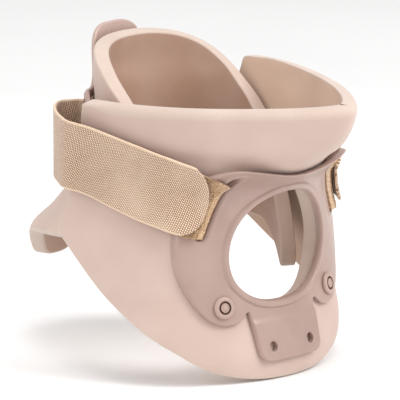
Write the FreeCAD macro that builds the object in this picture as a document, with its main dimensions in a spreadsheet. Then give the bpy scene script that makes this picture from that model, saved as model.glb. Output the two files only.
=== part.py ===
import FreeCAD
import Part
import math
import os

# Two-piece cervical collar with a throat opening, worn round the neck.
# Frame: millimetres, +Z up along the neck, -Y is the wearer's front (chin), -X is the wearer's right.
# The origin is on the neck axis, level with the lowest edge of the front half.

Vector = FreeCAD.Vector
document = FreeCAD.newDocument("cervical_collar")

# ---------------------------------------------------------------- driving dimensions
SIZES = [
    ("foam_thickness", 9.5),
    ("plate_thickness", 3.0),
    ("front_plate_gap", 0.2),
    ("rear_plate_gap", 2.8),
    ("ring_rise", 1.5),
    ("ring_width", 4.8),
    ("front_lip_flare", 8.0),
    ("rear_lip_flare", 3.0),
    ("tab_rise", 0.8),
    ("tab_hole_radius", 3.0),
    ("tab_hole_half_spacing", 16.5),
    ("tab_hole_height", 22.0),
    ("slot_width", 5.0),
    ("strap_width", 43.0),
    ("strap_thickness", 2.0),
    ("strap_back_height", 141.5),
    ("rear_slot_length", 47.0),
    ("hook_thickness", 1.0),
    ("loop_thickness", 1.5),
    ("rear_yaw", 4.0),
    ("rivet_head_radius", 7.0),
    ("rivet_head_height", 1.2),
    ("rivet_bevel_height", 0.9),
    ("rivet_crown_radius", 5.9),
    ("rivet_shank_radius", 3.2),
    ("rivet_shank_length", 14.2),
    ("rivet_bore_radius", 2.0),
    ("rivet_hole_radius", 3.3),
    ("pin_radius", 1.9),
    ("pin_length", 15.5),
    ("groove_outer_radius", 3.8),
    ("groove_inner_radius", 3.0),
    ("groove_depth", 0.8),
    ("washer_radius", 9.0),
    ("washer_height", 1.5),
]
sheet = document.addObject("Spreadsheet::Sheet", "sizes")
for row, (alias, value) in enumerate(SIZES, start=1):
    sheet.set("A%d" % row, alias)
    sheet.set("B%d" % row, str(value))
    sheet.setAlias("B%d" % row, alias)
document.recompute()


def size(alias):
    """Value of one driving dimension, in millimetres or degrees."""
    return float(sheet.get(alias))


# ---------------------------------------------------------------- shell profiles
# Front half: forward depth on the mid-plane, half width, and roundness of the section at each height.
FRONT_Z = [-8, 0, 12, 25, 45, 65, 85, 105, 120, 130, 138, 147, 160, 170, 180]
FRONT_DEPTH = [84, 84, 83.5, 80, 73.5, 69.5, 70, 73, 79, 90, 102, 117, 128, 132.5, 134]
FRONT_WIDTH = [88, 90, 93, 94, 91, 87, 83, 77, 73, 71, 71, 73, 75, 77, 78]
FRONT_POWER = [1.9, 2.0, 2.2, 2.4, 2.6, 2.8, 2.8, 2.5, 2.2, 2.0, 1.78, 1.62, 1.5, 1.43, 1.4]
# Front half seen from the side: rim and bottom edge as (Y, Z).
FRONT_RIM = [(-145, 175.8), (-100, 175.8), (-50, 175), (-11, 174.4), (13, 173.6), (60, 171)]
# The rim stands higher on the wearer's left: rise for each millimetre of X.
RIM_SLOPE = 0.06
FRONT_BOTTOM = [(38, 88), (1, 60.6), (-24, 45), (-41, 33.5), (-55.5, 23), (-72.6, 7), (-83, 1.5), (-95, 0)]
# Rear half, in its own frame before it is turned: back depth and half width at each height.
REAR_Z = [36, 50, 72, 90, 109, 116, 123, 135, 150, 165, 181, 212]
REAR_DEPTH = [118, 120, 117, 98.5, 80, 72, 67, 63, 60, 59, 60, 57]
REAR_WIDTH = [72, 72, 70, 66, 61, 60, 60, 59.6, 59.6, 60, 61, 61]
REAR_FRONT_DEPTH = 59.0
REAR_POWER = 2.1
# Rear half seen from the side: top edge and bottom edge as (Y, Z).
REAR_TOP = [(-41, 62), (-36.5, 95), (-28, 124), (-15, 146), (7, 168), (33, 189), (50, 197), (62, 200), (80, 200)]
REAR_BOTTOM = [(132, 46), (120, 50), (115, 60), (108, 68.5), (95, 74.5), (58, 79), (20, 84), (-8, 82), (-24, 66), (-35, 52)]


def smooth(levels, values, at):
    """Value at a level, on a curve through the table that never overshoots it."""
    if at <= levels[0]:
        return values[0]
    if at >= levels[-1]:
        return values[-1]
    steps = [levels[i + 1] - levels[i] for i in range(len(levels) - 1)]
    slopes = [(values[i + 1] - values[i]) / steps[i] for i in range(len(steps))]
    tangents = [slopes[0]]
    for i in range(1, len(steps)):
        before, after = slopes[i - 1], slopes[i]
        if before * after <= 0:
            tangents.append(0.0)
        else:
            near = 2 * steps[i] + steps[i - 1]
            far = steps[i] + 2 * steps[i - 1]
            tangents.append((near + far) / (near / before + far / after))
    tangents.append(slopes[-1])
    i = max(k for k in range(len(steps)) if levels[k] <= at)
    part = (at - levels[i]) / steps[i]
    rise = values[i + 1] - values[i]
    start = tangents[i] * steps[i]
    end = tangents[i + 1] * steps[i]
    return (
        values[i]
        + start * part
        + (3 * rise - 2 * start - end) * part**2
        + (start + end - 2 * rise) * part**3
    )


def slanted(levels, values, at, offset):
    """Sideways offset that leaves the stated distance square to a sloping wall."""
    slope = (smooth(levels, values, at + 1) - smooth(levels, values, at - 1)) / 2
    return offset * math.hypot(1, slope)


def flared(z, start, end, flare):
    """Outward lean of a lip that grows from start to end."""
    if z <= start:
        return 0.0
    return flare * ((z - start) / (end - start)) ** 2


def front_sizes(z, offset, flare=0.0):
    """Depth, half width and roundness of the front section, moved outwards by an offset."""
    lean = flared(z, 120, 132, flare)
    depth = smooth(FRONT_Z, FRONT_DEPTH, z) + slanted(FRONT_Z, FRONT_DEPTH, z, offset) + 0.15 * lean
    width = smooth(FRONT_Z, FRONT_WIDTH, z) + slanted(FRONT_Z, FRONT_WIDTH, z, offset) + lean
    return depth, width, smooth(FRONT_Z, FRONT_POWER, z)


def front_section(z, offset, back, flare=0.0):
    """Closed wire of the front half at one height, straight-sided behind Y = 0."""
    depth, width, power = front_sizes(z, offset, flare)
    steps = 24
    points = [Vector(-width, back, z), Vector(-width, back / 2, z)]
    for step in range(-steps, steps + 1):
        turn = math.radians(90 * abs(step) / steps)
        x = math.copysign(width * math.sin(turn) ** (2 / power), step)
        y = -depth * max(math.cos(turn), 0.0) ** (2 / power)
        points.append(Vector(x, y, z))
    points += [Vector(width, back / 2, z), Vector(width, back, z)]
    curve = Part.BSplineCurve()
    curve.interpolate(points)
    return Part.Wire([curve.toShape(), Part.makeLine(points[-1], points[0])])


def rear_section(z, offset, flare=0.0):
    """Closed wire of the rear half at one height, in its own frame."""
    lean = flared(z, 176, 205, flare)
    back = smooth(REAR_Z, REAR_DEPTH, z) + slanted(REAR_Z, REAR_DEPTH, z, offset) + lean
    width = smooth(REAR_Z, REAR_WIDTH, z) + offset
    front = REAR_FRONT_DEPTH + offset
    count = 60
    points = []
    for step in range(count):
        turn = 2 * math.pi * step / count
        along = math.copysign(abs(math.cos(turn)) ** (2 / REAR_POWER), math.cos(turn))
        across = math.copysign(abs(math.sin(turn)) ** (2 / REAR_POWER), math.sin(turn))
        points.append(Vector(width * across, (back if along > 0 else front) * along, z))
    curve = Part.BSplineCurve()
    curve.interpolate(points, True)
    return Part.Wire([curve.toShape()])


def loft(wires):
    return Part.makeLoft(wires, True, False)


def levels(low, high, step):
    count = max(2, math.ceil((high - low) / step))
    return [low + (high - low) * i / count for i in range(count + 1)]


def front_block(offset, low, high, flare=0.0, back=60.0):
    return loft([front_section(z, offset, back, flare) for z in levels(low, high, 7.0)])


def rear_block(offset, low, high, flare=0.0):
    return loft([rear_section(z, offset, flare) for z in levels(low, high, 7.0)])


def spline(points, closed=False):
    curve = Part.BSplineCurve()
    curve.interpolate(points, closed)
    return curve.toShape()


def prism(edges, way):
    """Solid swept from a flat closed outline along a vector."""
    return Part.Face(Part.Wire(Part.__sortEdges__(edges))).extrude(way)


def feature(label, shape):
    """Document object that holds one finished sub-part."""
    item = document.addObject("Part::Feature", label)
    item.Label = label
    item.Shape = shape
    return item


# ---------------------------------------------------------------- front foam shell
FRONT_LOW = -6.0
FRONT_HIGH = 180.0


def side_prism(top, bottom, slope=0.0):
    """Solid between a top edge and a bottom edge given as (Y, Z), as wide as the collar; slope lifts its left side."""
    half = 130.0
    upper = [Vector(-half, y, z - half * slope) for y, z in top]
    lower = [Vector(-half, y, z) for y, z in bottom]
    edges = [
        spline(upper),
        Part.makeLine(upper[-1], lower[0]),
        spline(lower),
        Part.makeLine(lower[-1], upper[0]),
    ]
    return prism(edges, Vector(2 * half, 0, 2 * half * slope))


def throat_outline(grow):
    """Egg-shaped throat opening as a closed curve in the XZ plane, grown by a margin."""
    corners = [(0, 116.5), (20, 112.5), (34.5, 101), (41.5, 83.5), (38, 66), (23.5, 52.8), (0, 48.5)]
    centre = 82.0
    ring = [(x, z) for x, z in corners] + [(-x, z) for x, z in corners[-2:0:-1]]
    points = []
    for x, z in ring:
        reach = math.hypot(x, z - centre)
        scale = (reach + grow) / reach
        points.append(Vector(x * scale, -150, centre + (z - centre) * scale))
    return spline(points, True)


def throat_prism(grow):
    return prism([throat_outline(grow)], Vector(0, 110, 0))


RIVET_X = 46.4
RIVET_Z = 48.5


def front_reach(point, offset):
    """How far out a point lies: below 1 inside the front half's section, above 1 outside it."""
    depth, width, power = front_sizes(point.z, offset)
    return (abs(point.x) / width) ** power + (abs(point.y) / depth) ** power


def rear_reach(point, offset):
    """The same measure for the rear half, in its own frame."""
    back = smooth(REAR_Z, REAR_DEPTH, point.z) + slanted(REAR_Z, REAR_DEPTH, point.z, offset)
    width = smooth(REAR_Z, REAR_WIDTH, point.z) + offset
    return (abs(point.x) / width) ** REAR_POWER + (abs(point.y) / back) ** REAR_POWER


def wall_place(reach, x, z, way):
    """Placement on a half's outer wall at X, Z, front (way -1) or back (way 1): local +Z points out of it."""
    near, far = 0.0, 150.0
    while far - near > 1e-6:
        middle = (near + far) / 2
        if reach(Vector(x, way * middle, z), 0) < 1:
            near = middle
        else:
            far = middle
    spot = Vector(x, way * near, z)
    steps = (Vector(0.5, 0, 0), Vector(0, 0.5, 0), Vector(0, 0, 0.5))
    out = Vector(*[reach(spot + step, 0) - reach(spot - step, 0) for step in steps])
    return FreeCAD.Placement(spot, FreeCAD.Rotation(Vector(0, 0, 1), out.normalize()))


def hole_through(place, radius):
    """Round cutter along a placement's axis, long enough for plate and foam."""
    cutter = Part.makeCylinder(radius, 40, Vector(0, 0, -25))
    cutter.Placement = place
    return cutter


front_places = [wall_place(front_reach, side * RIVET_X, RIVET_Z, -1) for side in (-1, 1)]
front_holes = [hole_through(place, size("rivet_hole_radius")) for place in front_places]

front_skin = front_block(0, FRONT_LOW, FRONT_HIGH)
front_hollow = front_block(-size("foam_thickness"), FRONT_LOW - 1, FRONT_HIGH + 1, 0, 80)
# The wing ends stop along the line from the last point here to the first point of the bottom edge.
ABOVE_RIM = [(-145, 192), (-100, 192), (-40, 192), (17.2, 192)]
BELOW_RIM = [(60, -40), (-40, -40), (-145, -40)]
front_foam = front_skin.cut(front_hollow).common(side_prism(ABOVE_RIM, FRONT_BOTTOM))
front_foam = front_foam.common(side_prism(FRONT_RIM, BELOW_RIM, RIM_SLOPE))
front_foam = front_foam.cut([throat_prism(1.5)] + front_holes)
feature("front_foam_shell", front_foam)

# ---------------------------------------------------------------- front support plate
PLATE_EDGE = [(0, 129), (22, 131.8), (40, 135.4), (51.5, 135.2), (58.5, 127.5), (64.5, 111), (70, 93)]
PLATE_EDGE += [(71.5, 79), (69.5, 65), (64.5, 52), (58.5, 43.5), (52, 39), (44, 38), (36, 39.5), (31, 44)]


def mirrored(half, depth):
    """Closed list of points from a half outline that starts and ends beside the mid-plane."""
    right = [Vector(x, depth, z) for x, z in half]
    left = [Vector(-x, depth, z) for x, z in reversed(half)]
    return right, left


def plate_prism():
    right, left = mirrored(PLATE_EDGE, -150)
    upper = spline(left[:-1] + right)
    notch_line = Part.makeLine(right[-1], left[0])
    body = prism([upper, notch_line], Vector(0, 110, 0))
    return body.fuse(tab_prism(0))


def tab_prism(inset):
    """Tab below the throat opening, with rounded lower corners."""
    top, low, radius = 50.0, 13.0 + inset, 7.0
    wide, narrow = 29.5 - inset, 27.0 - inset
    bend = radius * math.sqrt(0.5)
    right_low = Vector(narrow, -150, low + radius)
    right_mid = Vector(narrow - radius + bend, -150, low + radius - bend)
    right_base = Vector(narrow - radius, -150, low)
    left_low = Vector(-narrow, -150, low + radius)
    left_mid = Vector(-narrow + radius - bend, -150, low + radius - bend)
    left_base = Vector(-narrow + radius, -150, low)
    edges = [
        Part.makeLine(Vector(-wide, -150, top), Vector(wide, -150, top)),
        Part.makeLine(Vector(wide, -150, top), right_low),
        Part.Arc(right_low, right_mid, right_base).toShape(),
        Part.makeLine(right_base, left_base),
        Part.Arc(left_base, left_mid, left_low).toShape(),
        Part.makeLine(left_low, Vector(-wide, -150, top)),
    ]
    return prism(edges, Vector(0, 110, 0))


# Ends of the slanted slot's middle line, as X and Z.
SLOT_TOP = (44.8, 128.3)
SLOT_LOW = (59.0, 94.0)


def strap_slot(side):
    """Slanted slot with round ends that takes the loop strip, cut along Y."""
    top = Vector(side * SLOT_TOP[0], -150, SLOT_TOP[1])
    low = Vector(side * SLOT_LOW[0], -150, SLOT_LOW[1])
    radius = size("slot_width") / 2
    along = (low - top).normalize()
    across = Vector(along.z, 0, -along.x) * radius
    edges = [
        Part.makeLine(top + across, low + across),
        Part.Arc(low + across, low + along * radius, low - across).toShape(),
        Part.makeLine(low - across, top - across),
        Part.Arc(top - across, top - along * radius, top + across).toShape(),
    ]
    return prism(edges, Vector(0, 130, 0))


def front_layer(inside, outside, low, high, flare=0.0):
    """Sheet that follows the front surface between two offsets."""
    outer = front_block(outside, low, high, flare)
    return outer.cut(front_block(inside, low - 1, high + 1, flare, 80))


gap = size("front_plate_gap")
outer_face = gap + size("plate_thickness")
plate = front_layer(gap, outer_face, 8, 137, size("front_lip_flare")).common(plate_prism())
ring = front_layer(gap + 1, outer_face + size("ring_rise"), 32, 130, size("front_lip_flare"))
ring = ring.common(throat_prism(size("ring_width")).cut(throat_prism(-4)))
pad = front_layer(gap + 1, outer_face + size("tab_rise"), 8, 48).common(
    tab_prism(0).common(Part.makeBox(80, 150, 26, Vector(-40, -160, 12)))
)
tab_holes = []
for side in (-1, 1):
    spot = Vector(side * size("tab_hole_half_spacing"), -140, size("tab_hole_height"))
    tab_holes.append(Part.makeCylinder(size("tab_hole_radius"), 58, spot, Vector(0, 1, 0)))
plate = plate.fuse([ring, pad])
plate = plate.cut([throat_prism(0), strap_slot(-1), strap_slot(1)] + tab_holes + front_holes)
feature("front_support_plate", plate)

# ---------------------------------------------------------------- rear foam shell
yaw = FreeCAD.Placement(Vector(0, 0, 0), FreeCAD.Rotation(Vector(0, 0, 1), size("rear_yaw")))
REAR_RIVET_X = 18.0
REAR_RIVET_Z = 112.0
rear_places = [wall_place(rear_reach, side * REAR_RIVET_X, REAR_RIVET_Z, 1) for side in (-1, 1)]
rear_holes = [hole_through(place, size("rivet_hole_radius")) for place in rear_places]

rear_hollow = rear_block(-size("foam_thickness"), 37, 211)
rear_foam = rear_block(0, 38, 210).cut(rear_hollow).common(side_prism(REAR_TOP, REAR_BOTTOM))
rear_foam = rear_foam.cut(rear_holes)
feature("rear_foam_shell", rear_foam).Placement = yaw

# ---------------------------------------------------------------- rear support plate
REAR_PLATE_EDGE = [(0, 205), (13, 204), (19.5, 200), (22.5, 190), (22.5, 176), (26, 169), (44.5, 167.5), (48.2, 162.5)]
REAR_PLATE_EDGE += [(48.2, 120.5), (44.5, 114), (36, 112), (29.5, 108), (25, 103), (16, 101), (0, 101)]


def rear_plate_prism():
    right, left = mirrored(REAR_PLATE_EDGE, 0)
    return prism([spline(left[:-1] + right[:-1], True)], Vector(0, 150, 0))


def rear_slot(side):
    """Upright slot with round ends that the elastic strap passes through, cut along Y."""
    radius = size("slot_width") / 2
    x = side * 41.5
    reach = size("rear_slot_length") / 2 - radius
    low, high = size("strap_back_height") - reach, size("strap_back_height") + reach
    edges = [
        Part.makeLine(Vector(x - radius, 0, low), Vector(x - radius, 0, high)),
        Part.Arc(Vector(x - radius, 0, high), Vector(x, 0, high + radius), Vector(x + radius, 0, high)).toShape(),
        Part.makeLine(Vector(x + radius, 0, high), Vector(x + radius, 0, low)),
        Part.Arc(Vector(x + radius, 0, low), Vector(x, 0, low - radius), Vector(x - radius, 0, low)).toShape(),
    ]
    return prism(edges, Vector(0, 150, 0))


rear_gap = size("rear_plate_gap")
rear_outer = rear_block(rear_gap + size("plate_thickness"), 92, 208, size("rear_lip_flare"))
rear_inner = rear_block(rear_gap, 91, 209, size("rear_lip_flare"))
rear_plate = rear_outer.cut(rear_inner).common(rear_plate_prism())
rear_plate = rear_plate.cut([rear_slot(-1), rear_slot(1)] + rear_holes)
feature("rear_support_plate", rear_plate).Placement = yaw


# ---------------------------------------------------------------- rivets, pins and washers
def round_bar(name, radius, height, place):
    """Cylinder whose radius and height are cells of the sheet, or sums of them."""
    bar = document.addObject("Part::Cylinder", name)
    bar.setExpression("Radius", radius)
    bar.setExpression("Height", height)
    bar.Placement = place
    return bar


def shifted(place, distance):
    """The same placement, moved along its own axis."""
    return place.multiply(FreeCAD.Placement(Vector(0, 0, distance), FreeCAD.Rotation()))


def rivet(name, place, base):
    """Hollow rivet: bevelled head with a ring groove on the plate, shank through plate and foam."""
    seat = shifted(place, base)
    head = round_bar(name + "_head", "sizes.rivet_head_radius", "sizes.rivet_head_height", seat)
    crown = document.addObject("Part::Cone", name + "_crown")
    crown.setExpression("Radius1", "sizes.rivet_head_radius")
    crown.setExpression("Radius2", "sizes.rivet_crown_radius")
    crown.setExpression("Height", "sizes.rivet_bevel_height")
    crown.Placement = shifted(seat, size("rivet_head_height"))
    shank_place = shifted(seat, -size("rivet_shank_length"))
    shank = round_bar(name + "_shank", "sizes.rivet_shank_radius", "sizes.rivet_shank_length", shank_place)
    whole = document.addObject("Part::MultiFuse", name + "_whole")
    whole.Shapes = [head, crown, shank]
    top = size("rivet_head_height") + size("rivet_bevel_height") - size("groove_depth")
    groove_place = shifted(seat, top)
    wide = round_bar(name + "_wide", "sizes.groove_outer_radius", "sizes.groove_depth + 1", groove_place)
    island = round_bar(name + "_island", "sizes.groove_inner_radius", "sizes.groove_depth + 1", groove_place)
    groove = document.addObject("Part::Cut", name + "_groove")
    groove.Base = wide
    groove.Tool = island
    grooved = document.addObject("Part::Cut", name + "_grooved")
    grooved.Base = whole
    grooved.Tool = groove
    bore = round_bar(
        name + "_bore", "sizes.rivet_bore_radius", "sizes.rivet_shank_length + 6", shifted(shank_place, -1)
    )
    hollow = document.addObject("Part::Cut", name)
    hollow.Base = grooved
    hollow.Tool = bore
    return hollow


def pin(name, place, base):
    """Centre pin that spreads the hollow rivet."""
    start = base + size("rivet_head_height") + size("rivet_bevel_height") - size("pin_length")
    return round_bar(name, "sizes.pin_radius", "sizes.pin_length", shifted(place, start))


def washer(name, place, base):
    """Flat washer on the inner face of the foam, round the rivet's shank."""
    seat = shifted(place, base)
    disc = round_bar(name + "_disc", "sizes.washer_radius", "sizes.washer_height", seat)
    eye = round_bar(name + "_eye", "sizes.rivet_hole_radius", "sizes.washer_height + 2", shifted(seat, -1))
    cut = document.addObject("Part::Cut", name)
    cut.Base = disc
    cut.Tool = eye
    return cut


def pair(label, maker, places, base, turn):
    """Two equal fasteners as separate solids of one node."""
    both = document.addObject("Part::Compound", label)
    both.Label = label
    both.Links = [maker("%s_%d" % (label, i), place, base) for i, place in enumerate(places)]
    both.Placement = turn
    return both


still = FreeCAD.Placement()
foam_back = -size("foam_thickness") - 1.2 - size("washer_height")
for half, places, seat_height, turn in (
    ("front", front_places, outer_face + 0.5, still),
    ("rear", rear_places, rear_gap + size("plate_thickness") + 0.45, yaw),
):
    pair(half + "_rivets", rivet, places, seat_height, turn)
    pair(half + "_rivet_pins", pin, places, seat_height, turn)
    pair(half + "_rivet_washers", washer, places, foam_back, turn)


# ---------------------------------------------------------------- straps and loop strips
def side_x(y, z, offset, flare=0.0):
    """Distance from the mid-plane to the front half's side surface at Y, Z."""
    depth, width, power = front_sizes(z, offset, flare)
    if y >= 0:
        return width
    return width * max(0.0, 1 - (abs(y) / depth) ** power) ** (1 / power)


def triangles(quads):
    """Flat faces that cover four-cornered patches, two to a patch."""
    faces = []
    for a, b, c, d in quads:
        faces.append(Part.Face(Part.makePolygon([a, b, c, a])))
        faces.append(Part.Face(Part.makePolygon([a, c, d, a])))
    return faces


def band(rows, side, inside, outside):
    """Strap through rows of points across it; inside and outside are distances along its outer normal."""
    loops = []
    for i, row in enumerate(rows):
        ahead = rows[min(i + 1, len(rows) - 1)]
        behind = rows[max(i - 1, 0)]
        inner = []
        outer = []
        for k, point in enumerate(row):
            above = row[min(k + 1, len(row) - 1)]
            below = row[max(k - 1, 0)]
            out = (ahead[k] - behind[k]).cross(above - below).normalize() * side
            inner.append(point + out * inside)
            outer.append(point + out * outside)
        loops.append(inner + outer[::-1])
    quads = []
    around = len(loops[0])
    for first, second in zip(loops[:-1], loops[1:]):
        for k in range(around):
            after = (k + 1) % around
            quads.append((first[k], first[after], second[after], second[k]))
    for loop in (loops[0], loops[-1]):
        for k in range(around // 2 - 1):
            quads.append((loop[k], loop[k + 1], loop[around - 2 - k], loop[around - 1 - k]))
    strap = Part.Solid(Part.makeShell(triangles(quads)))
    if strap.Volume < 0:
        strap.reverse()
    return strap


ACROSS = (-0.5, -0.33, -0.17, 0, 0.17, 0.33, 0.5)
# Centre line of the strap outside the front half: Y, Z and distance from the foam.
STRAP_RUN = [(-68, 115.4, 9.4), (-60, 117.1, 9.2), (-53, 119, 8.8), (-46, 121, 7.9), (-34, 124, 6.9)]
STRAP_RUN += [(-20, 127.3, 5.8), (-4, 131.3, 6.0), (14, 135.2, 7.6)]
# Centre line behind the wing of the front half, from there to the rear plate: X, Y and Z.
RIGHT_BACK = [(82.5, 27.5, 137), (79, 38, 138.2), (73.5, 46.6, 139.3), (67.2, 53, 140.3), (60.8, 57, 141.1)]
RIGHT_BACK += [(55, 57.6, 141.4), (50.9, 54.6, 141.5)]
LEFT_BACK = [(82.5, 28, 137), (79, 39.5, 138.2), (73, 49.5, 139.3), (65, 58, 140.3), (57, 63.4, 141.1)]
LEFT_BACK += [(49.5, 65.2, 141.4), (45, 63.9, 141.5), (42.8, 61.1, 141.5)]
TIP_LENGTH = 52.0
JOINT_GAP = 0.6
# Length of strap left out beside the hinge at the back, so that the strap can swing out past the band.
SWING_GAP = 4.5
ROUND_LENGTH = 15.0


def on_skin(point, offset):
    """The point moved level, straight away from the neck axis or sideways, to a distance from the foam."""
    depth, width, power = front_sizes(point.z, offset)
    if point.y >= 0:
        return Vector(math.copysign(width, point.x), point.y, point.z)
    reach = ((abs(point.x) / width) ** power + (abs(point.y) / depth) ** power) ** (1 / power)
    return Vector(point.x / reach, point.y / reach, point.z)


class StrapRun:
    """Closed strap on one side, from its rounded front end to the rear plate."""

    def __init__(self, side, back):
        self.side = side
        points = []
        self.offsets = []
        self.grips = []
        for y, z, offset in STRAP_RUN:
            points.append(Vector(side * side_x(y, z, offset), y, z))
            self.offsets.append(offset)
            self.grips.append(1.0)
        for i, (x, y, z) in enumerate(back):
            points.append(Vector(side * x, y, z))
            self.offsets.append(x - smooth(FRONT_Z, FRONT_WIDTH, z))
            self.grips.append(max(0.0, 1 - (i + 1) / 2))
        self.curve = Part.BSplineCurve()
        self.curve.interpolate(points)
        self.length = self.curve.length()
        first = self.curve.FirstParameter
        self.stations = [self.curve.length(first, self.curve.parameter(point)) for point in points[1:]]
        self.stations = [0.0] + self.stations

    def row(self, distance, width):
        """Points across the strap, low to high, at a distance from the front end."""
        at = self.curve.parameterAtDistance(min(distance, self.length), self.curve.FirstParameter)
        middle = self.curve.value(at)
        along = self.curve.tangent(at)[0]
        out = along.cross(Vector(0, 0, 1)).normalize() * self.side
        up = out.cross(along).normalize() * self.side
        offset = smooth(self.stations, self.offsets, distance)
        grip = smooth(self.stations, self.grips, distance)
        points = []
        for step in ACROSS:
            free = middle + up * (width * step)
            points.append(free + (on_skin(free, offset) - free) * grip if grip > 0 else free)
        return points

    def piece(self, start, end, width, inside, outside, rounding=0.0):
        """Length of strap between two distances; with a rounding it narrows towards its start."""
        rows = []
        if rounding > 0:
            for turn in (10, 24, 38, 54, 72):
                angle = math.radians(turn)
                rows.append(self.row(start + rounding * (1 - math.cos(angle)), width * math.sin(angle)))
            start = start + rounding
        count = max(4, math.ceil((end - start) / 6))
        for i in range(count + 1):
            rows.append(self.row(start + (end - start) * i / count, width))
        return band(rows, self.side, inside, outside)


def front_y(x, z, offset, flare=0.0):
    """Y of the front half's forward wall at X, Z."""
    depth, width, power = front_sizes(z, offset, flare)
    return -depth * max(0.0, 1 - (abs(x) / width) ** power) ** (1 / power)


def loop_strip(side):
    """Loop-pile strip that comes out of the slot and lies back along the foam."""
    flare = size("front_lip_flare")
    # Rows through and just outside the slot: how far behind the slot's middle line, distance from the foam,
    # and how far the upper corner stands above the slot.
    leaving = [(0.5, 1.2, 0), (0.5, 4.3, 0), (2.8, 4.7, 1), (5.4, 4.7, 2.5)]
    # Rows farther back: lower edge and upper edge as (Y, Z), and distance from the foam.
    lying = [
        ((-53, 95.5), (-66, 131.5), 4.3),
        ((-45, 98), (-57, 135), 3.9),
        ((-38, 100.5), (-48, 138), 3.0),
        ((-24, 104), (-34, 141.5), 1.1),
        ((-8, 108), (-18, 145), 0.9),
    ]
    rows = []
    for back, offset, lift in leaving:
        row = []
        for step in ACROSS:
            part = 0.45 + step * 0.94
            x = SLOT_LOW[0] + (SLOT_TOP[0] - SLOT_LOW[0]) * part + back
            z = SLOT_LOW[1] + (SLOT_TOP[1] - SLOT_LOW[1]) * part + lift * (step + 0.5)
            row.append(Vector(side * x, front_y(x, z, offset, flare), z))
        rows.append(row)
    for (low_y, low_z), (high_y, high_z), offset in lying:
        row = []
        for step in ACROSS:
            y = low_y + (high_y - low_y) * (step + 0.5)
            z = low_z + (high_z - low_z) * (step + 0.5)
            row.append(Vector(side * side_x(y, z, offset), y, z))
        rows.append(row)
    return band(rows, side, 0, size("loop_thickness"))


half_thick = size("strap_thickness") / 2
for side, name, back in ((-1, "right", RIGHT_BACK), (1, "left", LEFT_BACK)):
    run = StrapRun(side, back)
    width = size("strap_width")
    tip = run.piece(0, TIP_LENGTH, width, -half_thick, half_thick, ROUND_LENGTH)
    feature(name + "_strap_tip", tip)
    hook_out = -half_thick - 0.25
    hook_in = hook_out - size("hook_thickness")
    hook = run.piece(3, TIP_LENGTH - 8, width - 6, hook_in, hook_out, ROUND_LENGTH)
    feature(name + "_hook_patch", hook)
    strap = run.piece(TIP_LENGTH + JOINT_GAP, run.length - SWING_GAP, width, -half_thick, half_thick)
    feature(name + "_strap_side", strap)
    strip = loop_strip(side).cut(document.getObject("front_support_plate").Shape)
    feature(name + "_loop_strip", max(strip.Solids, key=lambda solid: solid.Volume))

# Strap across the back, in the rear half's frame: half path as X with the distance from the foam
# (under the rear plate and out through its slot), then the free end as X and Y.
BAND_UNDER = [(0, 1.4), (12, 1.4), (24, 1.4), (32, 1.4), (38.0, 1.5), (40.7, 3.0), (41.9, 5.6), (42.7, 8.2)]
BAND_END = (47.0, 58.0)


def rear_y(x, z, offset):
    """Distance behind the neck axis of the rear half's back wall at X, Z."""
    back = smooth(REAR_Z, REAR_DEPTH, z) + slanted(REAR_Z, REAR_DEPTH, z, offset)
    width = smooth(REAR_Z, REAR_WIDTH, z) + offset
    return back * (1 - (abs(x) / width) ** REAR_POWER) ** (1 / REAR_POWER)


def rear_band():
    half = []
    for x, offset in BAND_UNDER:
        row = []
        for step in ACROSS:
            z = size("strap_back_height") + size("strap_width") * step
            row.append(Vector(x, rear_y(x, z, offset), z))
        half.append(row)
    heights = [size("strap_back_height") + size("strap_width") * step for step in ACROSS]
    half.append([Vector(BAND_END[0], BAND_END[1], z) for z in heights])
    other = [[Vector(-point.x, point.y, point.z) for point in row] for row in half[:0:-1]]
    return band(other + half, -1, -half_thick, half_thick)


feature("rear_strap_band", rear_band()).Placement = yaw

# ---------------------------------------------------------------- check and export
NODES = ["front_foam_shell", "front_support_plate", "front_rivets", "front_rivet_pins", "front_rivet_washers"]
NODES += ["right_loop_strip", "left_loop_strip"]
NODES += ["rear_foam_shell", "rear_support_plate", "rear_rivets", "rear_rivet_pins", "rear_rivet_washers"]
NODES += ["rear_strap_band", "right_strap_side", "left_strap_side", "right_strap_tip", "left_strap_tip"]
NODES += ["right_hook_patch", "left_hook_patch"]

document.recompute()
for item in document.Objects:
    if "Invalid" in item.State or "Error" in item.State:
        raise RuntimeError("%s did not compute" % item.Name)

os.makedirs("parts", exist_ok=True)
for node in NODES:
    item = document.getObjectsByLabel(node)[0]
    if item.Shape.isNull() or not item.Shape.isValid() or not item.Shape.Solids:
        raise RuntimeError("%s has no valid solid" % node)
    item.Shape.exportStep("parts/%s.step" % node)
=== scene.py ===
import bmesh
import bpy
import math
import numpy as np
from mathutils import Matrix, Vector
from mathutils.geometry import delaunay_2d_cdt


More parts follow.
